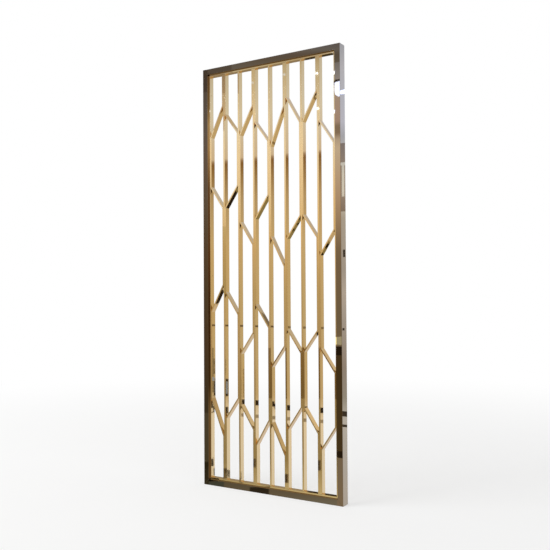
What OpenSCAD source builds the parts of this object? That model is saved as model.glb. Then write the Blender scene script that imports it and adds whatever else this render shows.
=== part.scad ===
// Full-height metal room screen: a dark folded frame round a gold grille of upright bars
// and zigzag strips. Origin at the middle of the base; X across, Y to the back, Z up.

/* [Panel] */
// Overall height of the screen
panel_h = 2400; // [1600:10:3200]
// Overall width of the screen
panel_w = 890; // [700:5:1400]

/* [Outer frame] */
// Width of the frame's front face
frame_face = 32; // [24:0.5:60]
// Depth of the frame, front to back
frame_d = 56; // [46:1:90]
// Sheet thickness of the folded frame sections
frame_wall = 1.2; // [0.8:0.1:3]
// Outside radius of the frame's folded edges
frame_edge_r = 1; // [0.2:0.1:4]

/* [Grille] */
// Depth of every grille member, front to back, centred in the frame's depth
grille_d = 33; // [18:1:44]
// Front width of the solid liner bars round the opening
liner_face = 10.5; // [6:0.5:20]
// Front width of the upright bars
bar_face = 10; // [8:0.5:24]
// Front width of the zigzag strips
strip_face = 7.5; // [5:0.5:14]
// Sheet thickness of the folded bars and strips
grille_wall = 1; // [0.6:0.1:2]
// Outside radius of the grille's long edges
grille_edge_r = 0.8; // [0.2:0.1:2]

/* [Liner fixings] */
// Thread diameter of the liner screws
screw_d = 4; // [3:1:6]
// Length of the liner screws, head included
screw_l = 16; // [14:1:24]
// Distance from the panel's top and base to the outer screws in the stiles
screw_inset = 150; // [80:5:300]
// Clearance round each screw's shank and under its head
screw_gap = 0.1; // [0.05:0.05:0.4]

/* [Building fixings] */
// Thread diameter of the nuts that take the floor and ceiling studs
stud_d = 8; // [6:1:12]
// Distance between the two stud nuts in a rail
stud_spacing = 600; // [300:10:660]

/* [Hidden] */
$fn = 32;

// Zigzag strips, one row for each bay from left to right: the side of the bay on which the strip
// starts at the top, then for each diagonal the height where it leaves that side and the height
// where it reaches the other, both as shares of the clear height above the lower liner.
strip_shares = [
    ["right", [[0.922, 0.846], [0.721, 0.667], [0.477, 0.410], [0.196, 0.105]]],
    ["left",  [[0.899, 0.850], [0.720, 0.667], [0.459, 0.404], [0.201, 0.149]]],
    ["right", [[0.910, 0.842], [0.629, 0.573], [0.361, 0.309], [0.185, 0.129]]],
    ["left",  [[0.869, 0.820], [0.690, 0.635], [0.429, 0.374], [0.155, 0.093]]],
    ["right", [[0.896, 0.805], [0.590, 0.519], [0.332, 0.281], [0.150, 0.076]]],
    ["left",  [[0.917, 0.854], [0.636, 0.583], [0.371, 0.317], [0.192, 0.138]]],
    ["right", [[0.920, 0.853], [0.637, 0.583], [0.370, 0.320], [0.191, 0.136]]],
    ["left",  [[0.851, 0.797], [0.599, 0.542], [0.329, 0.276], [0.154, 0.100]]],
];

bays = len(strip_shares);
bars = bays - 1;
// Clear opening inside the liner
clear_w = panel_w - 2 * (frame_face + liner_face);
clear_z0 = frame_face + liner_face;
clear_z1 = panel_h - clear_z0;
// Width of one bay between two bars, and the step from bay to bay
bay_w = (clear_w - bars * bar_face) / bays;
bay_step = bay_w + bar_face;

// How far cutters reach past the faces that they cut
over = 1;
// Shares of the thread diameter: head radius, socket across its corners, socket depth, a nut's
// body radius, body height and collar radius, and the radius inside a stud nut's thread
head_r_share = 1;
socket_d_share = 0.72;
socket_h_share = 0.35;
nut_r_share = 0.9;
nut_h_share = 0.75;
collar_r_share = 0.68;
stud_bore_share = 0.425;

screw_r = screw_d / 2;
screw_head_r = head_r_share * screw_d;
// A countersunk head's sides slope at 45 degrees
screw_head_h = screw_head_r - screw_r;

// Screw places: heights in the stiles, and the bays whose middles take them in the rails
screw_z = [screw_inset, panel_h / 2, panel_h - screw_inset];
screw_bays = [2, bays - 1];

frame_colour = [0.24, 0.19, 0.15];
gold = [0.80, 0.62, 0.34];
steel = [0.62, 0.62, 0.64];

// Left face of a bay, and the centreline of its strip on one side of it (0 left, 1 right)
function bay_left(bay) = -clear_w / 2 + (bay - 1) * bay_step;
function bay_mid(bay) = bay_left(bay) + bay_w / 2;
function strip_x(bay, side) =
    bay_left(bay) + (side % 2 == 0 ? strip_face / 2 : bay_w - strip_face / 2);
function level_z(share) = clear_z0 + share * (clear_z1 - clear_z0);

// Turning points [x, z] of a bay's strip, from the top liner down to the bottom one
function strip_path(bay) =
    let (row = strip_shares[bay - 1], turns = row[1], side = row[0] == "left" ? 0 : 1)
    concat(
        [[strip_x(bay, side), clear_z1]],
        [for (k = [0 : len(turns) - 1]) each [
            [strip_x(bay, side + k), level_z(turns[k][0])],
            [strip_x(bay, side + k + 1), level_z(turns[k][1])]]],
        [[strip_x(bay, side + len(turns)), clear_z0]]);

// Centreline [x, z] of a mitred ring of members, whose outside is inset into the panel. It runs
// left, top, right, bottom, with the last member before the first and the first after the last.
function ring_path(inset, face) =
    let (x = panel_w / 2 - inset - face / 2, z0 = inset + face / 2, z1 = panel_h - z0)
    [[x, z0], [-x, z0], [-x, z1], [x, z1], [x, z0], [-x, z0], [-x, z1]];

function unit(v) = v / norm(v);
function square_to(v) = [-v[1], v[0]];
// Line of the cut between two members that meet, for half a unit of their width
function cut(before, after) =
    let (a = square_to(unit(before)), m = unit(a + square_to(unit(after))))
    m / (m * a);

module rounded_rect(w, d, r) {
    square([w - 2 * r, d], center = true);
    square([w, d - 2 * r], center = true);
    for (x = [-1, 1], y = [-1, 1])
        translate([x * (w / 2 - r), y * (d / 2 - r)])
            circle(r);
}

// The member from point i of a path to the next, cut square at the path's ends and mitred where
// it meets another member. A wall of 0 makes it solid.
module member(path, i, face, depth, wall, edge_r) {
    p = path[i];
    q = path[i + 1];
    along = q - p;
    from = cut(i == 0 ? along : p - path[i - 1], along) * face;
    to = cut(i + 2 < len(path) ? path[i + 2] - q : along, along) * face;
    intersection() {
        translate([p[0], 0, p[1]])
            rotate([0, atan2(along[0], along[1]), 0])
                translate([0, 0, -face])
                    linear_extrude(norm(along) + 2 * face)
                        difference() {
                            rounded_rect(face, depth, edge_r);
                            if (wall > 0)
                                square([face - 2 * wall, depth - 2 * wall], center = true);
                        }
        rotate([90, 0, 0])
            linear_extrude(depth + 2 * over, center = true)
                polygon([p + from, q + to, q - to, p - from]);
    }
}

// Puts its children at each screw of one side of the ring (0 left, 1 top, 2 right, 3 bottom),
// with their origin on the liner's inner face and their +Z pointing out towards the frame
module at_screws(side) {
    if (side % 2 == 0)
        for (z = screw_z)
            translate([(side - 1) * clear_w / 2, 0, z])
                rotate([0, (side - 1) * 90, 0])
                    children();
    else
        for (bay = screw_bays)
            translate([bay_mid(bay), 0, side == 1 ? clear_z1 : clear_z0])
                rotate([side == 1 ? 0 : 180, 0, 0])
                    children();
}

// Puts its children at each stud nut of a rail (1 top, 3 bottom), with their origin on the
// rail's outer face and their +Z pointing into the rail
module at_studs(side) {
    for (x = [-1, 1])
        translate([x * stud_spacing / 2, 0, side == 1 ? panel_h : 0])
            rotate([side == 1 ? 180 : 0, 0, 0])
                children();
}

// A clinch nut whose collar fills a hole in a wall that starts at z = 0 and whose body stands
// behind the wall
module clinch_nut(thread_d, bore_r) {
    difference() {
        union() {
            translate([0, 0, screw_gap])
                cylinder(h = frame_wall, r = collar_r_share * thread_d);
            translate([0, 0, frame_wall])
                cylinder(h = nut_h_share * thread_d, r = nut_r_share * thread_d);
        }
        translate([0, 0, -over])
            cylinder(h = frame_wall + nut_h_share * thread_d + 2 * over, r = bore_r);
    }
}

// The hole in a wall for a clinch nut's collar
module nut_hole(thread_d) {
    translate([0, 0, -over])
        cylinder(h = frame_wall + 2 * over, r = collar_r_share * thread_d + screw_gap);
}

module frame_member(side) {
    color(frame_colour)
        difference() {
            member(ring_path(0, frame_face), side + 1, frame_face, frame_d, frame_wall, frame_edge_r);
            at_screws(side)
                translate([0, 0, liner_face])
                    nut_hole(screw_d);
            if (side % 2 == 1)
                at_studs(side)
                    nut_hole(stud_d);
        }
}

module liner_member(side) {
    color(gold)
        difference() {
            member(ring_path(frame_face, liner_face), side + 1, liner_face, grille_d, 0, grille_edge_r);
            at_screws(side) {
                translate([0, 0, -over])
                    cylinder(h = liner_face + 2 * over, r = screw_r + screw_gap);
                // The countersink, which runs on past the face at its own slope
                translate([0, 0, -over])
                    cylinder(h = screw_head_h + over, r1 = screw_head_r + screw_gap + over,
                             r2 = screw_r + screw_gap);
            }
        }
}

module frame_stile_left() { frame_member(0); }
module frame_rail_top() { frame_member(1); }
module frame_stile_right() { frame_member(2); }
module frame_rail_bottom() { frame_member(3); }
module liner_left() { liner_member(0); }
module liner_top() { liner_member(1); }
module liner_right() { liner_member(2); }
module liner_bottom() { liner_member(3); }

module upright_bar(i) {
    x = bay_left(i) + bay_w + bar_face / 2;
    color(gold)
        member([[x, clear_z0], [x, clear_z1]], 0, bar_face, grille_d, grille_wall, grille_edge_r);
}

module strip_member(bay, i) {
    member(strip_path(bay), i, strip_face, grille_d, grille_wall, grille_edge_r);
}

module strip_diagonal(bay, k) {
    color(gold)
        strip_member(bay, 2 * k - 1);
}

module strip_uprights(bay) {
    color(gold)
        for (i = [0 : 2 : len(strip_path(bay)) - 2])
            strip_member(bay, i);
}

module liner_screws() {
    color(gold)
        for (side = [0 : 3])
            at_screws(side)
                difference() {
                    union() {
                        cylinder(h = screw_l, r = screw_r);
                        cylinder(h = screw_head_h, r1 = screw_head_r, r2 = screw_r);
                    }
                    translate([0, 0, -over])
                        cylinder(h = socket_h_share * screw_d + over,
                                 d = socket_d_share * screw_d, $fn = 6);
                }
}

module liner_nuts() {
    color(steel)
        for (side = [0 : 3])
            at_screws(side)
                translate([0, 0, liner_face])
                    clinch_nut(screw_d, screw_r + screw_gap);
}

module stud_nuts() {
    color(steel)
        for (side = [1, 3])
            at_studs(side)
                clinch_nut(stud_d, stud_bore_share * stud_d);
}

frame_stile_left();
frame_stile_right();
frame_rail_top();
frame_rail_bottom();
liner_left();
liner_right();
liner_top();
liner_bottom();
for (i = [1 : bars])
    upright_bar(i);
for (bay = [1 : bays])
    strip_uprights(bay);
for (bay = [1 : bays], k = [1 : len(strip_shares[bay - 1][1])])
    strip_diagonal(bay, k);
liner_screws();
liner_nuts();
stud_nuts();
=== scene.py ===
"""Finishes, welds, screws and studio of a full-height metal room screen: a dark mirror frame
round a gold mirror grille. Metres; X across, Y to the back, Z up, origin at the middle of the
base."""

import math

import bmesh
import bpy
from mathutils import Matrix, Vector


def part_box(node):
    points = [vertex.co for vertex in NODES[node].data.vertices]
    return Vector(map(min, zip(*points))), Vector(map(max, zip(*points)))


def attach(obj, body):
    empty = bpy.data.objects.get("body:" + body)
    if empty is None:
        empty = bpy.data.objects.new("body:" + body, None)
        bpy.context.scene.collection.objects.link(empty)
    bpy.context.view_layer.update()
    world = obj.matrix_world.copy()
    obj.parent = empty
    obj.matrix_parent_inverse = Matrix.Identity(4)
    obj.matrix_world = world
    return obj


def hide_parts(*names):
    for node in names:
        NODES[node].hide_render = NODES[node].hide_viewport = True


bl_info = {
    "name": "Metal room screen",
    "version": (1, 0, 0),
    "blender": (4, 5, 0),
    "location": "3D Viewport > Sidebar > Screen",
    "description": "Mirror finishes, weld beads and screws of a metal room screen, and its studio",
    "category": "Object",
}

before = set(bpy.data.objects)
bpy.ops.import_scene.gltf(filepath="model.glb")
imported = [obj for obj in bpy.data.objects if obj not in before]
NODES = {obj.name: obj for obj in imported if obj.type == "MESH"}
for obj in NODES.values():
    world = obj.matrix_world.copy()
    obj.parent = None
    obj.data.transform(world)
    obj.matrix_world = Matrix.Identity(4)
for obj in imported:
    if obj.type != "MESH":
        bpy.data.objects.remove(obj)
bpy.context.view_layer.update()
LOW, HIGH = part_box("frame_stile_left")
PANEL_H = HIGH.z
PANEL_W = -2 * LOW.x
FRAME_FACE = HIGH.x - LOW.x
BAR_LOW, BAR_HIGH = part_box("upright_bar_1")
GRILLE_D = BAR_HIGH.y - BAR_LOW.y
CLEAR_Z0, CLEAR_Z1 = BAR_LOW.z, BAR_HIGH.z

FRAME_NODES = ("frame_stile_left", "frame_stile_right", "frame_rail_top", "frame_rail_bottom")
LINER_NODES = ("liner_left", "liner_right", "liner_top", "liner_bottom")
NUT_NODES = ("liner_nuts", "stud_nuts")
BAR_NODES = sorted(n for n in NODES if n.startswith("upright_bar_"))
STRIP_NODES = sorted(n for n in NODES if n.startswith("strip_"))
DIAGONAL_NODES = [n for n in STRIP_NODES if "_diagonal_" in n]
BAYS = len(BAR_NODES) + 1


# ---------------------------------------------------------------- node trees

class Wire:
    """An output of a node tree, or a plain number, that takes Python's arithmetic."""

    def __init__(self, graph, source):
        self.graph = graph
        self.source = source

    def _maths(self, operation, *values):
        return self.graph.add("ShaderNodeMath", {"operation": operation},
                              dict(enumerate(values)))

    def __add__(self, other):
        return self._maths("ADD", self, other)

    __radd__ = __add__

    def __sub__(self, other):
        return self._maths("SUBTRACT", self, other)

    def __rsub__(self, other):
        return self._maths("SUBTRACT", other, self)

    def __mul__(self, other):
        return self._maths("MULTIPLY", self, other)

    __rmul__ = __mul__

    def __truediv__(self, other):
        return self._maths("DIVIDE", self, other)

    def __rtruediv__(self, other):
        return self._maths("DIVIDE", other, self)

    def __pow__(self, other):
        return self._maths("POWER", self, other)

    def __abs__(self):
        return self._maths("ABSOLUTE", self)

    def smallest(self, other):
        return self._maths("MINIMUM", self, other)

    def largest(self, other):
        return self._maths("MAXIMUM", self, other)


class Graph:
    """A node tree that is written as expressions."""

    def __init__(self, tree):
        self.tree = tree
        tree.nodes.clear()

    def add(self, kind, settings=None, inputs=None, output=0):
        """Adds a node: its type, its settings, which are set first, then its sockets by name or
        number. Gives the wire of one output, or a list of wires for a list of outputs."""
        node = self.tree.nodes.new(kind)
        for name, value in (settings or {}).items():
            if name == "stops":
                self._stops(node.color_ramp, value)
            else:
                setattr(node, name, value)
        for name, value in (inputs or {}).items():
            socket = node.inputs[name]
            if isinstance(value, Wire):
                self.tree.links.new(value.source, socket)
            else:
                socket.default_value = value
        if not len(node.outputs):
            return None
        if isinstance(output, (list, tuple)):
            return [Wire(self, node.outputs[which]) for which in output]
        return Wire(self, node.outputs[output])

    @staticmethod
    def _stops(ramp, stops):
        elements = ramp.elements
        while len(elements) < len(stops):
            elements.new(0.5)
        for element, (place, colour) in zip(elements, stops):
            element.position = place
            element.color = (*colour, 1.0)

    def blend(self, factor, low, high):
        """A colour from low to high. Input 0 is the factor, 6 and 7 are the two colours."""
        return self.add("ShaderNodeMix", {"data_type": "RGBA"},
                        {0: factor, 6: as_colour(low), 7: as_colour(high)}, output=2)

    def step(self, value, start, end, low=0.0, high=1.0):
        """Goes smoothly from low to high while value goes from start to end."""
        return self.add("ShaderNodeMapRange", {"interpolation_type": "SMOOTHSTEP"},
                        {"Value": value, "From Min": start, "From Max": end, "To Min": low,
                         "To Max": high})

    def noise(self, place, scale, detail=2.0, roughness=0.5):
        return self.add("ShaderNodeTexNoise", None,
                        {"Vector": place, "Scale": scale, "Detail": detail,
                         "Roughness": roughness})

    def stretched(self, place, scale):
        """The place with each axis scaled by itself."""
        return self.add("ShaderNodeMapping", None, {"Vector": place, "Scale": scale})

    def axes(self, place):
        """X, Y and Z of a place, as three wires."""
        return self.add("ShaderNodeSeparateXYZ", None, {0: place}, output=(0, 1, 2))


def as_colour(value):
    return value if isinstance(value, Wire) else (*value, 1.0)


def shader_graph(name):
    """A new material and its empty graph."""
    material = bpy.data.materials.new(name)
    material.use_nodes = True
    return material, Graph(material.node_tree)


def close_material(graph, shader):
    graph.add("ShaderNodeOutputMaterial", None, {"Surface": shader})


def close_metal(graph, tint, rough, height, strength=1.0, distance=1.0):
    """Ends a material with bare metal whose surface follows a height map."""
    normal = graph.add("ShaderNodeBump", None,
                       {"Strength": strength, "Distance": distance, "Height": height})
    close_material(graph, graph.add(
        "ShaderNodeBsdfPrincipled", None,
        {"Base Color": tint, "Metallic": 1.0, "Roughness": rough, "Normal": normal}))


def close_glow(graph, colour, strength=1.0):
    """Ends a material with plain light."""
    close_material(graph, graph.add("ShaderNodeEmission", None,
                                    {"Color": as_colour(colour), "Strength": strength}))


def object_place(graph):
    """Where a point lies in its object, which is the shared frame in metres."""
    return graph.add("ShaderNodeTexCoord", output="Object")


def shade(colour, *shares):
    """The colour with each channel times its share, or with all three times one share."""
    return tuple(c * share for c, share in zip(colour, shares if len(shares) == 3 else shares * 3))


# ---------------------------------------------------------------- sizes and colours

class ScreenMetals(bpy.types.PropertyGroup):
    """Colours and polish of the screen's metals"""
    gold: bpy.props.FloatVectorProperty(
        name="Gold", description="Colour of the grille's coating", subtype="COLOR", size=3,
        min=0, max=1, default=(0.80, 0.56, 0.27))
    bronze: bpy.props.FloatVectorProperty(
        name="Dark bronze", description="Colour of the frame's coating", subtype="COLOR", size=3,
        min=0, max=1, default=(0.18, 0.13, 0.083))
    steel: bpy.props.FloatVectorProperty(
        name="Steel", description="Colour of the plain steel nuts", subtype="COLOR", size=3,
        min=0, max=1, default=(0.56, 0.56, 0.57))
    polish: bpy.props.FloatProperty(
        name="Polish", description="Roughness of the clean mirror", subtype="FACTOR",
        min=0, max=1, default=0.018)
    smudge: bpy.props.FloatProperty(
        name="Smudge", description="Roughness of the mirror where hands have touched it",
        subtype="FACTOR", min=0, max=1, default=0.05)
    waviness: bpy.props.FloatProperty(
        name="Waviness", description="How far the folded sheet stands out of flat", unit="LENGTH",
        subtype="DISTANCE", min=0, max=0.001, default=0.00012)
    seam: bpy.props.FloatProperty(
        name="Seam", description="Width of the polished weld line at a mitre", unit="LENGTH",
        subtype="DISTANCE", min=0, max=0.002, default=0.0005)


class ScreenWelds(bpy.types.PropertyGroup):
    """Sizes of the weld beads where bars and strips meet"""
    bead: bpy.props.FloatProperty(
        name="Bead radius", description="Radius of the bead round a bar's end", unit="LENGTH",
        subtype="DISTANCE", min=0.0002, max=0.003, default=0.0011)
    seam_bead: bpy.props.FloatProperty(
        name="Elbow bead radius", description="Radius of the bead round a strip's elbow",
        unit="LENGTH", subtype="DISTANCE", min=0.0002, max=0.002, default=0.0005)
    corner: bpy.props.FloatProperty(
        name="Corner radius", description="How far the bead rounds the corners of a bar",
        unit="LENGTH", subtype="DISTANCE", min=0.0001, max=0.003, default=0.0009)


class ScreenScrews(bpy.types.PropertyGroup):
    """Sizes of the screws that hold the liner in the frame"""
    head_r: bpy.props.FloatProperty(
        name="Head radius", description="Radius of the countersunk head", unit="LENGTH",
        subtype="DISTANCE", min=0.001, max=0.01, default=0.0039)
    shank_r: bpy.props.FloatProperty(
        name="Shank radius", description="Radius of the thread", unit="LENGTH",
        subtype="DISTANCE", min=0.0005, max=0.005, default=0.00195)
    length: bpy.props.FloatProperty(
        name="Length", description="Length with the head", unit="LENGTH",
        subtype="DISTANCE", min=0.005, max=0.04, default=0.016)
    socket_w: bpy.props.FloatProperty(
        name="Socket width", description="Width of the hexagon socket across its flats",
        unit="LENGTH", subtype="DISTANCE", min=0.0005, max=0.006, default=0.0025)
    socket_h: bpy.props.FloatProperty(
        name="Socket depth", description="Depth of the hexagon socket", unit="LENGTH",
        subtype="DISTANCE", min=0.0002, max=0.005, default=0.0014)


class ScreenStage(bpy.types.PropertyGroup):
    """The studio: floor, lamps, reflected room and camera"""
    floor: bpy.props.FloatVectorProperty(
        name="Floor", description="Colour of the floor", subtype="COLOR", size=3,
        min=0, max=1, default=(0.90, 0.90, 0.89))
    floor_r: bpy.props.FloatProperty(
        name="Floor radius", description="Radius of the floor", unit="LENGTH",
        subtype="DISTANCE", min=2, max=60, default=20.0)
    floor_white: bpy.props.FloatProperty(
        name="Floor white", description="Share of plain white in the floor round the screen",
        subtype="FACTOR", min=0, max=1, default=0.6)
    room_light: bpy.props.FloatProperty(
        name="Room light", description="Strength of the plain light from all round", min=0,
        max=2, default=0.62)
    key_power: bpy.props.FloatProperty(
        name="Key lamp", description="Power of the large soft lamp", unit="POWER", min=0,
        max=1000, default=150.0)
    key_size: bpy.props.FloatProperty(
        name="Key lamp size", description="Side of the large soft lamp", unit="LENGTH",
        subtype="DISTANCE", min=0.2, max=8, default=3.0)
    room_r: bpy.props.FloatProperty(
        name="Room radius", description="Distance of the reflected studio walls", unit="LENGTH",
        subtype="DISTANCE", min=3, max=20, default=6.0)
    camera_at: bpy.props.FloatVectorProperty(
        name="Camera", description="Place of the camera", subtype="TRANSLATION", size=3,
        default=(2.1647, -3.4572, 1.1014))
    camera_turn: bpy.props.FloatVectorProperty(
        name="Camera turn", description="Pitch, roll and heading of the camera",
        subtype="EULER", size=3,
        default=(math.radians(91.352), math.radians(0.322), math.radians(31.767)))
    lens: bpy.props.FloatProperty(
        name="Lens", description="Focal length for a sensor 36 mm wide", unit="CAMERA", min=10,
        max=300, default=48.416)


# ---------------------------------------------------------------- metals

# Depths in metres, and how many waves or lines of polishing go to a metre along X, Y and Z
POLISHING_DEPTH = 1e-7
POLISHING_SCALE = (700.0, 700.0, 9.0)
SHEET_WAVE_SCALE = (2.0, 2.0, 3.2)
SEAM_DEPTH = 0.00004


def mirror_metal(name, colour, warmer, metals, seam_inset=None, wave=1.0):
    """Coated mirror sheet: the coating's tint drifts a little along the piece, the polish is
    duller where hands have touched it, the thin sheet is not quite flat, and fine polishing
    lines run up the piece. A seam inset draws the polished weld line at the mitred corners of
    the ring of members that starts so far inside the panel's edge."""
    material, graph = shader_graph(name)
    place = object_place(graph)
    x, _, z = graph.axes(place)
    drift = graph.noise(place, 1.7, 3.0)
    tint = graph.blend(graph.step(drift, 0.35, 0.65), colour, warmer)
    cloud = graph.noise(place, 9.0, 4.0, 0.6)
    touched = graph.step(cloud, 0.56, 0.78)
    lines = graph.noise(graph.stretched(place, POLISHING_SCALE), 1.0, 2.0)
    waves = graph.noise(graph.stretched(place, SHEET_WAVE_SCALE), 1.0, 1.0)
    height = waves * (metals.waviness * wave * 2) + lines * POLISHING_DEPTH
    rough = metals.polish + touched * (metals.smudge - metals.polish) + lines * 0.01
    if seam_inset is not None:
        edge = PANEL_W / 2 - seam_inset - abs(x)
        end = (z - seam_inset).smallest(PANEL_H - seam_inset - z)
        off_line = abs(edge - end)
        seam = graph.step(off_line, metals.seam * 0.3, metals.seam, 1.0, 0.0)
        tint = graph.blend(seam * 0.55, tint, shade(colour, 0.35))
        rough = rough + seam * 0.25
        height = height - seam * SEAM_DEPTH
    close_metal(graph, tint, rough, height)
    return material


def satin_steel(name, colour):
    """Plain turned steel with fine rings of tool marks and a few duller spots."""
    material, graph = shader_graph(name)
    place = object_place(graph)
    marks = graph.noise(graph.stretched(place, (1500.0, 1500.0, 1500.0)), 1.0, 3.0)
    spots = graph.step(graph.noise(place, 240.0, 3.0), 0.45, 0.7)
    tint = graph.blend(spots * 0.5, colour, shade(colour, 0.62))
    close_metal(graph, tint, 0.24 + spots * 0.16 + marks * 0.08, marks, 0.6, 0.00003)
    return material


def weld_metal(name, colour):
    """Polished gold of the welds and the screws: the coating's colour, slightly deeper, with
    soft ripples."""
    material, graph = shader_graph(name)
    place = object_place(graph)
    ripple = graph.noise(graph.stretched(place, (420.0, 420.0, 900.0)), 1.0, 1.0)
    heat = graph.step(graph.noise(place, 130.0, 2.0), 0.4, 0.7)
    tint = graph.blend(heat, shade(colour, 0.92), shade(colour, 0.62))
    close_metal(graph, tint, 0.16 + heat * 0.14, ripple, 0.5, 0.0002)
    return material


def gold_mirror(name, metals, seam_inset=None, wave=1.0):
    """The mirror of the liner, the bars and the strips, which drifts to a redder gold."""
    gold = tuple(metals.gold)
    return mirror_metal(name, gold, shade(gold, 1.02, 0.96, 0.86), metals, seam_inset, wave)


def dress(names, material):
    """Gives every material slot of these CAD nodes one material."""
    for name in names:
        slots = NODES[name].material_slots
        if not slots:
            raise RuntimeError(f"{name} has no material slot")
        for slot in slots:
            slot.material = material


class SCREEN_OT_frame_finish(bpy.types.Operator):
    """Gives the outer frame its dark bronze mirror"""
    bl_idname = "screen.frame_finish"
    bl_label = "Outer frame finish"

    def execute(self, context):
        metals = context.scene.screen_metals
        dark = tuple(metals.bronze)
        dress(FRAME_NODES, mirror_metal("dark_bronze_mirror", dark, shade(dark, 1.1, 1.02, 0.95),
                                        metals, 0.0))
        return {"FINISHED"}


class SCREEN_OT_liner_finish(bpy.types.Operator):
    """Gives the liner round the opening its gold mirror"""
    bl_idname = "screen.liner_finish"
    bl_label = "Liner finish"

    def execute(self, context):
        dress(LINER_NODES, gold_mirror("gold_mirror_liner", context.scene.screen_metals,
                                       FRAME_FACE))
        return {"FINISHED"}


class SCREEN_OT_grille_finish(bpy.types.Operator):
    """Gives the upright bars and the zigzag strips their gold mirror"""
    bl_idname = "screen.grille_finish"
    bl_label = "Grille finish"

    def execute(self, context):
        metals = context.scene.screen_metals
        dress(BAR_NODES, gold_mirror("gold_mirror_bar", metals))
        dress(STRIP_NODES, gold_mirror("gold_mirror_strip", metals, wave=1.3))
        return {"FINISHED"}


class SCREEN_OT_nut_finish(bpy.types.Operator):
    """Gives the nuts inside the frame their plain steel"""
    bl_idname = "screen.nut_finish"
    bl_label = "Nut finish"

    def execute(self, context):
        dress(NUT_NODES, satin_steel("plain_steel", tuple(context.scene.screen_metals.steel)))
        return {"FINISHED"}


# ---------------------------------------------------------------- repeated pieces

def geometry_tree(name, inputs):
    """A geometry node tree with a geometry in and out, named inputs and the graph to fill it."""
    tree = bpy.data.node_groups.new(name, "GeometryNodeTree")
    graph = Graph(tree)
    side = tree.interface
    side.new_socket("Geometry", in_out="INPUT", socket_type="NodeSocketGeometry")
    for label, kind in inputs:
        side.new_socket(label, in_out="INPUT", socket_type=kind)
    side.new_socket("Geometry", in_out="OUTPUT", socket_type="NodeSocketGeometry")
    labels = ["Geometry"] + [label for label, _ in inputs]
    return tree, graph, dict(zip(labels, graph.add("NodeGroupInput", output=labels)))


def close_copies(graph, put, copied):
    """Ends a tree: a copy at each point of its mesh, turned as the point says and painted."""
    points = graph.add("GeometryNodeMeshToPoints", None, {"Mesh": put["Geometry"]})
    turn = graph.add("GeometryNodeInputNamedAttribute", {"data_type": "FLOAT_VECTOR"},
                     {"Name": "turn"})
    copies = graph.add("GeometryNodeInstanceOnPoints", None,
                       {"Points": points, "Instance": copied, "Rotation": turn})
    whole = graph.add("GeometryNodeRealizeInstances", None, {"Geometry": copies})
    painted = graph.add("GeometryNodeSetMaterial", None,
                        {"Geometry": whole, "Material": put["Material"]})
    graph.add("NodeGroupOutput", None, {0: painted})


def spots_mesh(name, places, turns):
    """A mesh of loose points with a turn, in radians about X, Y and Z, for each."""
    mesh = bpy.data.meshes.new(name)
    mesh.from_pydata([tuple(p) for p in places], [], [])
    turn = mesh.attributes.new("turn", "FLOAT_VECTOR", "POINT")
    turn.data.foreach_set("vector", [v for t in turns for v in t])
    return mesh


def grown(name, mesh, tree, values):
    """The mesh that the tree makes from these points, as a plain object at the origin."""
    seed = bpy.data.objects.new(name + "_points", mesh)
    bpy.context.scene.collection.objects.link(seed)
    modifier = seed.modifiers.new("Repeat", "NODES")
    modifier.node_group = tree
    for item in tree.interface.items_tree:
        if item.in_out == "INPUT" and item.name in values:
            modifier[item.identifier] = values[item.name]
    depsgraph = bpy.context.evaluated_depsgraph_get()
    depsgraph.update()
    result = bpy.data.meshes.new_from_object(seed.evaluated_get(depsgraph))
    bpy.data.objects.remove(seed)
    if not result.polygons:
        raise RuntimeError(f"{name} came out empty")
    result.name = name
    piece = bpy.data.objects.new(name, result)
    bpy.context.scene.collection.objects.link(piece)
    return piece


def bead_tree():
    """Puts a closed bead round a rectangular bar's end at each point of a mesh."""
    tree, graph, put = geometry_tree("weld_bead", [
        ("Width", "NodeSocketFloat"), ("Depth", "NodeSocketFloat"),
        ("Bead Radius", "NodeSocketFloat"), ("Corner Radius", "NodeSocketFloat"),
        ("Material", "NodeSocketMaterial")])
    outline = graph.add("GeometryNodeCurvePrimitiveQuadrilateral", None,
                        {"Width": put["Width"], "Height": put["Depth"]})
    rounded = graph.add("GeometryNodeFilletCurve", {"mode": "POLY"},
                        {"Curve": outline, "Count": 4, "Radius": put["Corner Radius"]})
    section = graph.add("GeometryNodeCurvePrimitiveCircle", None,
                        {"Resolution": 8, "Radius": put["Bead Radius"]})
    bead = graph.add("GeometryNodeCurveToMesh", None,
                     {"Curve": rounded, "Profile Curve": section, "Fill Caps": False})
    close_copies(graph, put, bead)
    return tree


def diagonal_ends(name, strip_face):
    """The two turning points of a diagonal, upper first, and its mitre's rise across the strip,
    from the CAD node's own mesh."""
    low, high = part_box(name)
    corners = [v.co for v in NODES[name].data.vertices]
    top = max(corners, key=lambda c: c.z)
    across = high.x - low.x - strip_face
    # The rise and the length depend on each other, so they are closed in on
    rise = 0.0
    for _ in range(8):
        drop = high.z - low.z - 2 * rise
        length = math.hypot(across, drop)
        rise = strip_face / 2 * across / length / (1 + drop / length)
    down_right = top.x < (low.x + high.x) / 2
    # The highest corner of a mitre lies on the far side of the strip from where it heads
    first, last = low.x + strip_face / 2, high.x - strip_face / 2
    if not down_right:
        first, last = last, first
    upper = Vector((first, 0.0, high.z - rise))
    lower = Vector((last, 0.0, low.z + rise))
    return upper, lower, rise if down_right else -rise


MITRE_TILT = 0.3    # of the bead's plane at an elbow, in radians, which makes its ring wider


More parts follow.
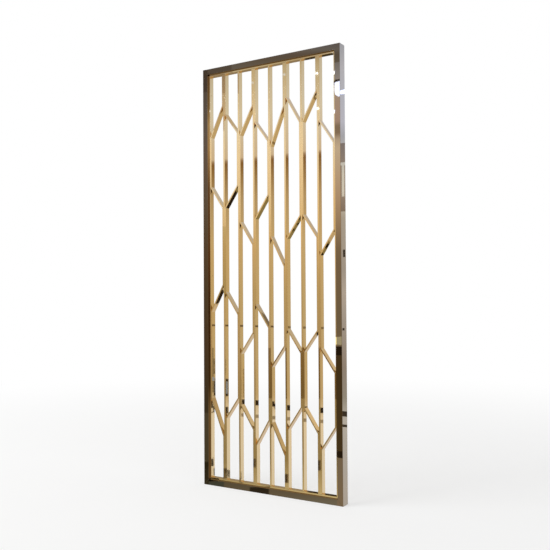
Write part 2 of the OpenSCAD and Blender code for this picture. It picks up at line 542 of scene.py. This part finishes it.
class SCREEN_OT_weld_beads(bpy.types.Operator):
    """Lays the polished weld beads at the ends of the bars and strips and round every elbow"""
    bl_idname = "screen.weld_beads"
    bl_label = "Weld beads"

    def execute(self, context):
        welds = context.scene.screen_welds
        paint = weld_metal("gold_weld", tuple(context.scene.screen_metals.gold))
        tree = bead_tree()
        strip_face = self.strip_face()
        bar_ends = [Vector(((low.x + high.x) / 2, 0.0, z))
                    for low, high in map(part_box, BAR_NODES) for z in (CLEAR_Z0, CLEAR_Z1)]
        strip_ends, elbows, tilts = [], [], []
        for bay in range(1, BAYS + 1):
            names = sorted(n for n in DIAGONAL_NODES if n.startswith(f"strip_{bay}_"))
            ends = [diagonal_ends(n, strip_face) for n in names]
            strip_ends.append(Vector((ends[0][0].x, 0.0, CLEAR_Z1)))
            strip_ends.append(Vector((ends[-1][1].x, 0.0, CLEAR_Z0)))
            for upper, lower, rise in ends:
                elbows += [upper, lower]
                tilts += [math.atan2(rise, strip_face / 2)] * 2
        bar_face = BAR_HIGH.x - BAR_LOW.x
        for name, places, tilt, width, bead in (
                ("bar_end_welds", bar_ends, [0.0] * len(bar_ends), bar_face, welds.bead),
                ("strip_end_welds", strip_ends, [0.0] * len(strip_ends), strip_face, welds.bead),
                ("elbow_welds", elbows, tilts, strip_face / math.cos(MITRE_TILT),
                 welds.seam_bead)):
            mesh = spots_mesh(name, places, [(0.0, angle, 0.0) for angle in tilt])
            piece = grown(name, mesh, tree, {
                "Width": width, "Depth": GRILLE_D, "Bead Radius": bead,
                "Corner Radius": welds.corner, "Material": paint})
            piece.data.shade_smooth()
            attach(piece, "root")
        return {"FINISHED"}

    @staticmethod
    def strip_face():
        """The strips' front width, from the stretches of strip 2 that lie against its bay's
        left side."""
        low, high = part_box("strip_2_uprights")
        middle = (low.x + high.x) / 2
        return max(v.co.x for v in NODES["strip_2_uprights"].data.vertices
                   if v.co.x < middle) - low.x


def circle(radius, z, count):
    """Points round the Z axis, counted from X towards Y."""
    return [(radius * math.cos(2 * math.pi * k / count),
             radius * math.sin(2 * math.pi * k / count), z) for k in range(count)]


def screw_shape(screws):
    """A countersunk screw with a hexagon socket, its head's face at z = 0 and its point up."""
    shape = bmesh.new()
    rounds = 36
    rim = 0.0002    # the head's rounded edge
    pitch, groove = 0.0007, 0.0003    # of the thread
    neck, run_out = 0.0003, 0.0005    # plain lengths before and after the thread
    tip_height, tip_step, tip_taper = 0.0006, 0.0001, 0.0007
    mouth_depth, mouth_wider, drill_point = 0.00015, 1.08, 0.0005    # of the socket
    slope = screws.head_r - screws.shank_r
    thread_start = slope + rim + neck
    profile = [(screws.head_r - rim * 1.5, 0.0), (screws.head_r - rim * 0.4, rim * 0.25),
               (screws.head_r, rim), (screws.shank_r, slope + rim)]
    for i in range(int((screws.length - thread_start - run_out) / pitch)):
        z = thread_start + i * pitch
        profile += [(screws.shank_r, z), (screws.shank_r - groove, z + pitch / 2)]
    profile += [(screws.shank_r - tip_step, screws.length - tip_height),
                (screws.shank_r - tip_taper, screws.length)]
    rings = [[shape.verts.new(co) for co in circle(r, z, rounds)] for r, z in profile]
    # The socket's mouth, the end of the mouth's chamfer, and the bottom
    flat = screws.socket_w / 2
    hexagon = []
    for z, grow in ((0.0, mouth_wider), (mouth_depth, 1.0), (screws.socket_h, 1.0)):
        ring = []
        for k in range(rounds):
            a = 2 * math.pi * k / rounds
            # Angle from the middle of the hexagon's nearest side
            off = (a + math.pi / 6) % (math.pi / 3) - math.pi / 6
            r = flat * grow / math.cos(off)
            ring.append(shape.verts.new((r * math.cos(a), r * math.sin(a), z)))
        hexagon.append(ring)
    around = rings[::-1] + hexagon
    for upper, lower in zip(around, around[1:]):
        for k in range(rounds):
            n = (k + 1) % rounds
            shape.faces.new((upper[n], upper[k], lower[k], lower[n]))
    shape.faces.new(rings[-1])
    point = shape.verts.new((0.0, 0.0, screws.socket_h + drill_point))
    for k in range(rounds):
        shape.faces.new((hexagon[-1][(k + 1) % rounds], hexagon[-1][k], point))
    bmesh.ops.recalc_face_normals(shape, faces=shape.faces)
    mesh = bpy.data.meshes.new("screw_pattern")
    shape.to_mesh(mesh)
    shape.free()
    return mesh


def screw_tree():
    """Puts one screw at each point of a mesh, turned as the point says."""
    tree, graph, put = geometry_tree("liner_screw_row", [
        ("Screw", "NodeSocketObject"), ("Material", "NodeSocketMaterial")])
    pattern = graph.add("GeometryNodeObjectInfo", None, {"Object": put["Screw"]},
                        output="Geometry")
    close_copies(graph, put, pattern)
    return tree


def screw_places():
    """The place of each CAD screw's head on the liner, and the way its point faces."""
    apart = 0.03    # more than a screw's length, less than the way to the next one
    groups = []
    for v in NODES["liner_screws"].data.vertices:
        for group in groups:
            if (group[0] - v.co).length < apart:
                group.append(v.co)
                break
        else:
            groups.append([v.co])
    found = []
    for group in groups:
        low = Vector([min(c[i] for c in group) for i in range(3)])
        high = Vector([max(c[i] for c in group) for i in range(3)])
        middle = (low + high) / 2
        along = max(range(3), key=lambda i: (high - low)[i])
        outward = 1 if middle[along] > (0 if along == 0 else PANEL_H / 2) else -1
        head = middle.copy()
        head[along] = low[along] if outward > 0 else high[along]
        way = Vector((0.0, 0.0, 0.0))
        way[along] = outward
        found.append((head, way))
    return sorted(found, key=lambda f: tuple(f[0]))


class SCREEN_OT_liner_screws(bpy.types.Operator):
    """Sets the countersunk screws that hold the liner in the frame"""
    bl_idname = "screen.liner_screws"
    bl_label = "Liner screws"

    def execute(self, context):
        paint = weld_metal("gold_screw", tuple(context.scene.screen_metals.gold))
        pattern = bpy.data.objects.new("screw_pattern", screw_shape(context.scene.screen_screws))
        context.scene.collection.objects.link(pattern)
        found = screw_places()
        up = Vector((0.0, 0.0, 1.0))
        turns = [tuple(up.rotation_difference(way).to_euler()) for _, way in found]
        sunk = 0.00005    # the head sits a touch inside the liner's face
        places = [head + way * sunk for head, way in found]
        piece = grown("liner_screws_fine", spots_mesh("liner_screws_fine", places, turns),
                      screw_tree(), {"Screw": pattern, "Material": paint})
        bpy.data.objects.remove(pattern)
        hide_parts("liner_screws")
        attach(piece, "root")
        return {"FINISHED"}


# ---------------------------------------------------------------- studio

def stage_piece(name, points, faces):
    """One piece of the studio, from its points and its faces' point numbers."""
    mesh = bpy.data.meshes.new(name)
    mesh.from_pydata(points, [], faces)
    piece = bpy.data.objects.new(name, mesh)
    bpy.context.scene.collection.objects.link(piece)
    return piece


def plate(name, faces):
    """One piece of the studio made of flat faces, each given by its corners."""
    points, numbers = [], []
    for face in faces:
        numbers.append(range(len(points), len(points) + len(face)))
        points += face
    return stage_piece(name, points, [tuple(each) for each in numbers])


def wall_card(start, end, low, high, radius):
    """The corners of a standing rectangle between two headings and two heights."""
    return [(radius * math.sin(math.radians(heading)), radius * math.cos(math.radians(heading)), z)
            for heading, z in ((start, low), (end, low), (end, high), (start, high))]


def near_card(x0, x1, low, high, y):
    """The corners of a standing rectangle that faces the front."""
    return [(x0, y, low), (x1, y, low), (x1, y, high), (x0, y, high)]


def only_in_reflections(piece, material):
    """Gives the piece its material and hides it from all but the mirrors."""
    piece.data.materials.append(material)
    for kind in ("camera", "diffuse", "transmission", "volume_scatter", "shadow"):
        setattr(piece, f"visible_{kind}", False)


def seen_white(graph):
    """1 for the rays that see a plain white background: the camera's, and those in mirrors and
    glass."""
    camera, glossy, through = graph.add(
        "ShaderNodeLightPath", output=("Is Camera Ray", "Is Glossy Ray", "Is Transmission Ray"))
    return camera.largest(glossy).largest(through)


# The painted reflection of a room: the tones that the mirrors show, by height on a glowing wall in
# metres above the floor, which lights nothing. A height below the floor stands for the floor as
# far out as a mirror shows it.
ROOM_LOW, ROOM_HIGH = -4.0, 6.0
SIDE_ROOM = [(-3.5, (0.74, 0.79, 0.98)), (-1.0, (0.60, 0.57, 0.50)), (-0.2, (0.36, 0.32, 0.26)),
             (0.2, (0.50, 0.46, 0.40)), (1.6, (0.62, 0.58, 0.50)), (2.8, (0.80, 0.80, 0.78)),
             (3.6, (0.66, 0.68, 0.70)), (4.2, (0.54, 0.58, 0.70)), (5.5, (0.64, 0.71, 0.90))]
LEFT_ROOM = [(-3.5, (0.12, 0.09, 0.05)), (0.2, (0.16, 0.12, 0.07)), (1.0, (0.45, 0.40, 0.32)),
             (4.0, (0.60, 0.58, 0.54)), (5.5, (0.60, 0.60, 0.58))]
BACK_ROOM = [(-1.3, (0.75, 0.70, 0.60)), (-0.6, (1.00, 1.05, 1.00)), (-0.2, (0.30, 0.28, 0.24)),
             (0.9, (0.26, 0.22, 0.20)), (1.8, (0.60, 0.50, 0.48)), (2.6, (0.80, 0.70, 0.72)),
             (3.15, (2.20, 2.60, 3.00)), (3.5, (2.40, 2.90, 3.40)), (3.75, (1.10, 1.20, 1.15)),
             (4.2, (0.80, 0.75, 0.75))]
DARK_ROOM = [(-3.5, (0.08, 0.06, 0.04)), (-1.0, (0.06, 0.05, 0.03)), (1.8, (0.06, 0.05, 0.03)),
             (4.0, (0.25, 0.22, 0.18)), (5.5, (0.60, 0.60, 0.58))]
FRONT_ROOM = [(-3.0, (0.76, 0.88, 0.90)), (-1.73, (0.76, 0.88, 0.86)), (-1.6, (0.61, 0.64, 0.56)),
              (-1.5, (0.54, 0.57, 0.49)), (-1.15, (0.31, 0.31, 0.22)), (-0.45, (0.36, 0.36, 0.28)),
              (0.3, (0.52, 0.47, 0.38)), (1.1, (0.58, 0.56, 0.45)), (1.7, (0.74, 0.70, 0.60)),
              (2.2, (0.92, 0.92, 0.88)), (2.7, (1.00, 1.06, 1.18)), (3.3, (0.98, 1.13, 1.48)),
              (4.2, (0.62, 0.69, 0.77)), (4.3, (0.52, 0.54, 0.55)), (4.35, (0.51, 0.51, 0.58)),
              (4.39, (0.72, 0.84, 1.00)), (4.43, (0.60, 0.70, 0.98)), (4.5, (0.64, 0.68, 0.80)),
              (5.5, (0.60, 0.70, 0.80))]
REAR_ROOM = [(-1.3, (0.82, 0.92, 1.15)), (-0.6, (0.86, 0.96, 1.20)), (-0.3, (0.62, 0.60, 0.52)),
             (0.9, (0.62, 0.60, 0.50)), (1.8, (0.66, 0.64, 0.55)), (2.4, (0.54, 0.50, 0.42)),
             (2.75, (0.36, 0.29, 0.19)), (2.95, (0.26, 0.17, 0.09)), (2.96, (0.72, 0.76, 0.92)),
             (3.6, (0.78, 0.94, 1.30)), (4.3, (0.64, 0.74, 0.94)), (5.0, (0.74, 0.82, 1.05))]
# Sectors of the wall that have tones of their own, each over those before it: the heading of the
# sector's middle in degrees from the back towards the right, its half width and its soft edge
SECTORS = ((-88.0, 42.0, 6.0, LEFT_ROOM), (150.0, 14.0, 6.0, BACK_ROOM),
           (-16.5, 10.8, 0.4, DARK_ROOM), (-148.0, 14.0, 5.0, FRONT_ROOM),
           (35.0, 6.5, 1.5, REAR_ROOM))


def height_tones(graph, level, low, high, table, divisor=1.0):
    """The table's colour for a level, which goes from 0 at the height low to 1 at high."""
    stops = [((h - low) / (high - low), [v / divisor for v in colour]) for h, colour in table]
    return graph.add("ShaderNodeValToRGB", {"stops": stops}, {"Fac": level})


def reflection_wall_paint():
    """Painted reflection: the glowing wall that only the mirrors show, which lights nothing: the
    side tones all round, and the sectors' tones over them, on the left, in front on the right,
    behind, in front on the left and behind on the right."""
    material, graph = shader_graph("studio_room")
    x, y, z = graph.axes(object_place(graph))
    level = (z - ROOM_LOW) / (ROOM_HIGH - ROOM_LOW)
    reach = (x * x + y * y) ** 0.5
    colour = height_tones(graph, level, ROOM_LOW, ROOM_HIGH, SIDE_ROOM)
    for heading, half_width, soft, table in SECTORS:
        a = math.radians(heading)
        facing = (x * math.sin(a) + y * math.cos(a)) / reach
        inside = graph.step(facing, math.cos(math.radians(half_width + soft)),
                            math.cos(math.radians(half_width)))
        colour = graph.blend(inside, colour,
                             height_tones(graph, level, ROOM_LOW, ROOM_HIGH, table))
    close_glow(graph, colour)
    return material


def lid_paint(name):
    """Painted reflection of the ceiling and the far floor, which only the mirrors show and which
    lights nothing: dark on the left, plain elsewhere.
    """
    material, graph = shader_graph(name)
    x, _, _ = graph.axes(object_place(graph))
    close_glow(graph, graph.blend(graph.step(x, -2.0, 3.0), (0.10, 0.08, 0.05),
                                  (0.63, 0.65, 0.64)))
    return material


def glow_strip_paint(name, table):
    """A glowing panel for a painted reflection, whose glow follows its height."""
    material, graph = shader_graph(name)
    z = graph.axes(object_place(graph))[2]
    low, high = table[0][0], table[-1][0]
    strongest = max(max(colour) for _, colour in table)
    level = (z - low) / (high - low)
    close_glow(graph, height_tones(graph, level, low, high, table, strongest), strongest)
    return material


def net_paint(name, tint):
    """A net that lets this share of the light through; before the glowing wall or strips it paints
    shade into what the mirrors show.
    """
    material, graph = shader_graph(name)
    close_material(graph, graph.add("ShaderNodeBsdfTransparent", None, {"Color": as_colour(tint)}))
    return material


COOL = (0.36, 0.52, 1.0)    # looks white in the gold


def glow_card_paint(name, strength, colour=COOL):
    """Plain glow for a small card that paints a glint or a bright patch into the mirrors."""
    material, graph = shader_graph(name)
    close_glow(graph, colour, strength)
    return material


# The glow by height of the two glowing strips, which paint reflections that only the mirrors show
FRONT_STRIP = [(-0.4, (0.95, 0.95, 0.85)), (0.9, (0.78, 0.75, 0.60)), (1.3, (0.85, 0.80, 0.65)),
               (1.4, (0.95, 0.90, 0.75)), (1.7, (1.95, 1.85, 1.70)), (2.07, (2.80, 2.90, 2.90)),
               (2.13, (2.30, 2.40, 2.50)), (2.17, (1.20, 1.10, 1.00)), (2.22, (1.20, 1.15, 1.05)),
               (2.25, (1.90, 1.75, 1.95)), (2.45, (2.00, 2.00, 2.20)), (2.56, (1.25, 1.50, 2.10)),
               (2.65, (0.90, 1.10, 1.50))]
REAR_STRIP = [(-0.4, (1.60, 1.80, 2.00)), (0.25, (1.90, 2.20, 2.50)), (0.4, (1.20, 1.35, 1.40)),
              (0.6, (1.15, 1.20, 1.27)), (1.1, (1.80, 1.95, 2.10)), (1.25, (1.45, 1.60, 1.75)),
              (1.6, (1.60, 1.80, 1.90)), (1.78, (2.60, 3.10, 3.40)), (1.9, (2.50, 3.00, 3.30)),
              (2.15, (1.60, 2.00, 2.80)), (2.25, (2.00, 2.50, 3.70)), (2.6, (1.85, 2.30, 3.20)),
              (2.8, (1.40, 1.75, 2.40))]
# Each glowing strip's X from and to, its Y and its glow
STRIPS = {"front_strip_light": (-0.102, -0.02, -1.03, FRONT_STRIP),
          "rear_strip_light": (0.905, 1.02, 1.0, REAR_STRIP)}
# Nets and flags close before the glowing strips, which paint shade and dark bands into their
# reflection: the share of light let through, and for each card X from and to, Z from and to, and Y
NEAR_CARDS = {
    "near_net": ((0.33, 0.28, 0.18), [(-0.11, -0.01, 0.045, 0.68, -1.02)]),
    "near_shade": ((0.50, 0.42, 0.38), [
        (0.9, 1.03, 1.97, 2.1, 0.98), (0.9, 1.03, 1.64, 1.74, 0.98),
        (0.941, 1.03, 1.74, 1.95, 0.98), (0.9, 0.923, 1.74, 1.95, 0.98)]),
    "near_flags": ((0.10, 0.08, 0.06), [
        (-0.11, -0.01, 0.68, 0.74, -1.02), (-0.11, -0.01, 2.502, 2.53, -1.02),
        (-0.11, -0.01, 0.0, 0.045, -1.02),
        (0.88, 1.04, 0.275, 0.31, 0.98), (0.88, 1.04, 0.205, 0.222, 0.98),
        (0.921, 0.937, 1.335, 1.385, 0.98), (0.93, 0.945, 0.846, 0.862, 0.98)]),
}
# Nets and flags before the wall, which paint shade and dark patches into its reflection: the share
# of light let through, and for each card its headings in degrees from and to, and its heights from
# and to
NET_GAP = 0.05    # from the wall
NETS = {
    "left_net": ((0.60, 0.55, 0.50), [(-140.05, -132.0, -0.5, 6.5)]),
    "bar_net": ((0.80, 0.82, 0.73), [(-143.0, -140.05, 1.05, 2.0)]),
    "liner_net": ((0.52, 0.52, 0.50), [(33.46, 34.0, -0.3, 0.33)]),
    "top_net": ((0.72, 0.66, 0.62), [(-143.2, -140.1, 3.3, 4.3), (-145.2, -140.1, 3.8, 4.07),
                                     (-140.1, -136.0, 3.8, 4.3)]),
    "low_net": ((0.48, 0.42, 0.30), [(-158.5, -147.3, -0.33, 0.36)]),
    "rear_net": ((0.42, 0.38, 0.32), [(29.0, 31.9, 0.62, 0.65), (29.0, 32.9, -0.605, -0.56),
                                      (32.6, 32.72, -0.35, 0.05), (33.45, 34.0, -0.59, -0.57),
                                      (15.2, 16.4, 4.0, 4.36)]),
    "left_rear_net": ((0.60, 0.58, 0.52), [(-41.0, -27.4, -0.2, 2.6)]),
    "foot_net": ((0.34, 0.32, 0.26), [(-140.05, -136.0, -2.0, -1.15)]),
    "foot_patch": ((0.22, 0.20, 0.18), [(-147.8, -145.3, -1.60, -1.50)]),
    "foot_shade": ((0.50, 0.66, 0.78), [(-142.0, -140.05, -1.53, -1.415)]),
    "line_net": ((0.22, 0.18, 0.14), [(31.9, 37.0, 0.628, 0.652)]),
    "rug_net": ((0.48, 0.47, 0.28), [(17.2, 22.6, -1.61, -1.1)]),
    "flags": ((0.04, 0.03, 0.02), [
        (31.9, 32.9, -0.44, -0.37), (29.0, 31.9, -0.475, -0.405), (33.0, 33.42, -0.58, -0.49),
        (33.45, 34.0, -0.52, -0.46), (33.34, 33.46, -0.36, -0.14), (33.34, 33.46, -0.04, 0.18),
        (32.98, 33.34, -0.34, -0.10), (32.92, 33.42, -1.46, -1.36), (33.42, 34.0, -1.33, -1.23),
        (18.2, 20.6, -1.95, -1.61), (17.6, 20.0, -2.52, -2.28), (19.0, 19.35, -1.32, -1.25),
        (18.0, 18.3, -1.5, -1.43), (18.9, 19.4, -1.21, -1.13), (18.3, 18.65, -1.36, -1.28),
        (-141.25, -140.06, -1.41, -1.36), (-140.6, -140.06, -1.22, -1.10),
        (-142.6, -141.7, -1.38, -1.25), (-144.3, -143.9, -1.44, -1.38),
        (-146.0, -145.5, -1.25, -1.13), (-150.2, -149.6, -1.46, -1.34),
        (-154.4, -153.8, -1.29, -1.15), (8.3, 9.6, -2.29, -2.1)]),
}


def glint_cards(*middles):
    """Cards for small painted glints, from their headings and heights."""
    return [(heading - 0.15, heading + 0.15, height - 0.014, height + 0.014)
            for heading, height in middles]


# Small glowing cards before the wall, which paint glints and light patches into the mirrors and
# light nothing: strength, and cards as for the nets
GLOW_CARD_GAP = 0.1    # from the wall
WALL_GLOW_CARDS = {
    "ceiling_spots": (8.0, glint_cards((-154.2, 4.06), (-154.3, 3.58), (-140.28, 3.54))),
    "dim_spots": (2.4, glint_cards((-150.0, 4.05), (-145.8, 3.94))),
    "light_panes": (0.95, [(33.05, 33.27, -0.30, -0.13), (33.36, 33.7, -0.13, -0.08)]),
}
# Small glowing cards close by, which paint glints and a bright patch that only the right stile and
# the liner beside it show: strength, colour, and for each outline its Y and its corners' X and Z
NEAR_GLOW_CARDS = {
    "splash_lamp": (16.0, COOL, [
        (-1.01, [(-0.0985, 2.5), (-0.08, 2.51), (-0.045, 2.514), (-0.045, 2.41), (-0.06, 2.411),
                 (-0.082, 2.425), (-0.088, 2.447), (-0.0985, 2.457)]),
        (0.97, [(0.905, 2.425), (0.955, 2.43), (0.955, 2.45), (0.905, 2.457)])]),
    "edge_spots": (8.0, COOL, [
        (-1.01, [(-0.112, z - 0.011), (-0.084, z - 0.011), (-0.084, z + 0.011),
                 (-0.112, z + 0.011)]) for z in (2.583, 2.319)]),
    "low_window": (2.0, (0.85, 1.0, 0.9), [
        (-1.01, [(-0.11, 0.752), (-0.03, 0.752), (-0.03, 0.81), (-0.11, 0.8)])]),
}
WALL_SIDES, WALL_LOW, WALL_HIGH = 144, -5.0, 7.0
LID_GAP = 0.02    # from the wall's ends
FLOOR_SIDES, FLOOR_Z = 96, -0.0002    # just under the screen's foot
WHITE_FROM, WHITE_TO = 0.8, 6.0    # how far out the floor begins and ends to turn plain white
KEY_LAMP_AT, KEY_LAMP_AIM = Vector((-2.6, -3.2, 4.6)), Vector((0.0, 0.0, 1.0))


class SCREEN_OT_studio(bpy.types.Operator):
    """Builds the pale floor, the soft lamps, the glowing room, strips and cards that paint the
    reflections and glints, and the camera
    """
    bl_idname = "screen.studio"
    bl_label = "Studio"

    def execute(self, context):
        stage = context.scene.screen_stage
        self.floor(stage)
        self.world(context, stage)
        self.lamp(context, stage)
        self.room(stage)
        self.camera(context, stage)
        context.scene.view_settings.view_transform = "Standard"
        return {"FINISHED"}

    @staticmethod
    def floor(stage):
        floor = plate("floor", [circle(stage.floor_r, FLOOR_Z, FLOOR_SIDES)])
        floor.visible_glossy = False
        material, graph = shader_graph("pale_floor")
        place = object_place(graph)
        x, y, _ = graph.axes(place)
        white_share = graph.step((x * x + y * y) ** 0.5, WHITE_FROM, WHITE_TO,
                                 stage.floor_white, 1.0)
        mottle = graph.noise(place, 3.0, 3.0)
        tint = graph.blend(mottle, tuple(stage.floor), shade(stage.floor, 0.97))
        near = graph.add("ShaderNodeBsdfDiffuse", None, {"Color": tint, "Roughness": 0.5})
        white = graph.add("ShaderNodeEmission", None, {"Strength": 1.0})
        shader = graph.add("ShaderNodeMixShader", None,
                           {0: white_share * seen_white(graph), 1: near, 2: white})
        close_material(graph, shader)
        floor.data.materials.append(material)

    @staticmethod
    def world(context, stage):
        world = bpy.data.worlds.new("studio")
        world.use_nodes = True
        graph = Graph(world.node_tree)
        strength = graph.step(seen_white(graph), 0.0, 1.0, stage.room_light, 1.0)
        light = graph.add("ShaderNodeBackground", None,
                          {"Color": (1.0, 1.0, 1.0, 1.0), "Strength": strength})
        graph.add("ShaderNodeOutputWorld", None, {"Surface": light})
        context.scene.world = world

    @staticmethod
    def lamp(context, stage):
        lamp = bpy.data.lights.new("key_lamp", "AREA")
        lamp.energy = stage.key_power
        lamp.size = stage.key_size
        key = bpy.data.objects.new("key_lamp", lamp)
        key.location = KEY_LAMP_AT
        key.rotation_euler = (KEY_LAMP_AIM - KEY_LAMP_AT).to_track_quat("-Z", "Y").to_euler()
        key.visible_glossy = False
        context.scene.collection.objects.link(key)

    @staticmethod
    def room(stage):
        ring = [(stage.room_r * math.sin(2 * math.pi * k / WALL_SIDES),
                 stage.room_r * math.cos(2 * math.pi * k / WALL_SIDES))
                for k in range(WALL_SIDES)]
        points = [(x, y, z) for z in (WALL_LOW, WALL_HIGH) for x, y in ring]
        faces = [(k, (k + 1) % WALL_SIDES, WALL_SIDES + (k + 1) % WALL_SIDES, WALL_SIDES + k)
                 for k in range(WALL_SIDES)]
        # The wall, the lids, the glowing strips, the nets, the flags and the small glowing cards
        # only paint reflections: the mirrors alone show them and they light nothing.
        only_in_reflections(stage_piece("studio_room", points, faces), reflection_wall_paint())
        plates = [(name, [[(x, y, z) for x, y in ring]], lid_paint(name))
                  for name, z in (("studio_ceiling", WALL_HIGH - LID_GAP),
                                  ("studio_pit", WALL_LOW + LID_GAP))]
        plates += [(name, [near_card(x0, x1, table[0][0], table[-1][0], y)],
                    glow_strip_paint(name, table))
                   for name, (x0, x1, y, table) in STRIPS.items()]
        plates += [(name, [near_card(*card) for card in cards], net_paint(name, tint))
                   for name, (tint, cards) in NEAR_CARDS.items()]
        plates += [(name, [wall_card(*card, stage.room_r - NET_GAP) for card in cards],
                    net_paint(name, tint)) for name, (tint, cards) in NETS.items()]
        plates += [(name, [wall_card(*card, stage.room_r - GLOW_CARD_GAP) for card in cards],
                    glow_card_paint(name, strength))
                   for name, (strength, cards) in WALL_GLOW_CARDS.items()]
        plates += [(name, [[(x, y, z) for x, z in corners] for y, corners in outlines],
                    glow_card_paint(name, strength, colour))
                   for name, (strength, colour, outlines) in NEAR_GLOW_CARDS.items()]
        for name, faces, material in plates:
            only_in_reflections(plate(name, faces), material)

    @staticmethod
    def camera(context, stage):
        lens = bpy.data.cameras.new("camera")
        lens.sensor_fit = "HORIZONTAL"
        lens.sensor_width = 36.0
        lens.lens = stage.lens
        camera = bpy.data.objects.new("camera", lens)
        camera.location = stage.camera_at
        camera.rotation_euler = stage.camera_turn
        context.scene.collection.objects.link(camera)
        context.scene.camera = camera


# ---------------------------------------------------------------- add-on

class SCREEN_PT_panel(bpy.types.Panel):
    """The screen's finishes and pieces"""
    bl_idname = "SCREEN_PT_panel"
    bl_label = "Metal room screen"
    bl_space_type = "VIEW_3D"
    bl_region_type = "UI"
    bl_category = "Screen"

    def draw(self, context):
        scene = context.scene
        for group in (scene.screen_metals, scene.screen_welds, scene.screen_screws,
                      scene.screen_stage):
            box = self.layout.box()
            for name in group.bl_rna.properties.keys():
                if name not in ("rna_type", "name"):
                    box.prop(group, name)
        for operator in OPERATORS:
            self.layout.operator(operator.bl_idname)


GROUPS = {"screen_metals": ScreenMetals, "screen_welds": ScreenWelds,
          "screen_screws": ScreenScrews, "screen_stage": ScreenStage}
OPERATORS = (SCREEN_OT_frame_finish, SCREEN_OT_liner_finish, SCREEN_OT_grille_finish,
             SCREEN_OT_nut_finish, SCREEN_OT_weld_beads, SCREEN_OT_liner_screws,
             SCREEN_OT_studio)
CLASSES = (*GROUPS.values(), *OPERATORS, SCREEN_PT_panel)


def register():
    for cls in CLASSES:
        bpy.utils.register_class(cls)
    for name, group in GROUPS.items():
        setattr(bpy.types.Scene, name, bpy.props.PointerProperty(type=group))


def unregister():
    for name in GROUPS:
        delattr(bpy.types.Scene, name)
    for cls in reversed(CLASSES):
        bpy.utils.unregister_class(cls)


def main():
    register()
    bpy.ops.screen.frame_finish()
    bpy.ops.screen.liner_finish()
    bpy.ops.screen.grille_finish()
    bpy.ops.screen.nut_finish()
    bpy.ops.screen.weld_beads()
    bpy.ops.screen.liner_screws()
    bpy.ops.screen.studio()


if __name__ == "__main__":
    main()
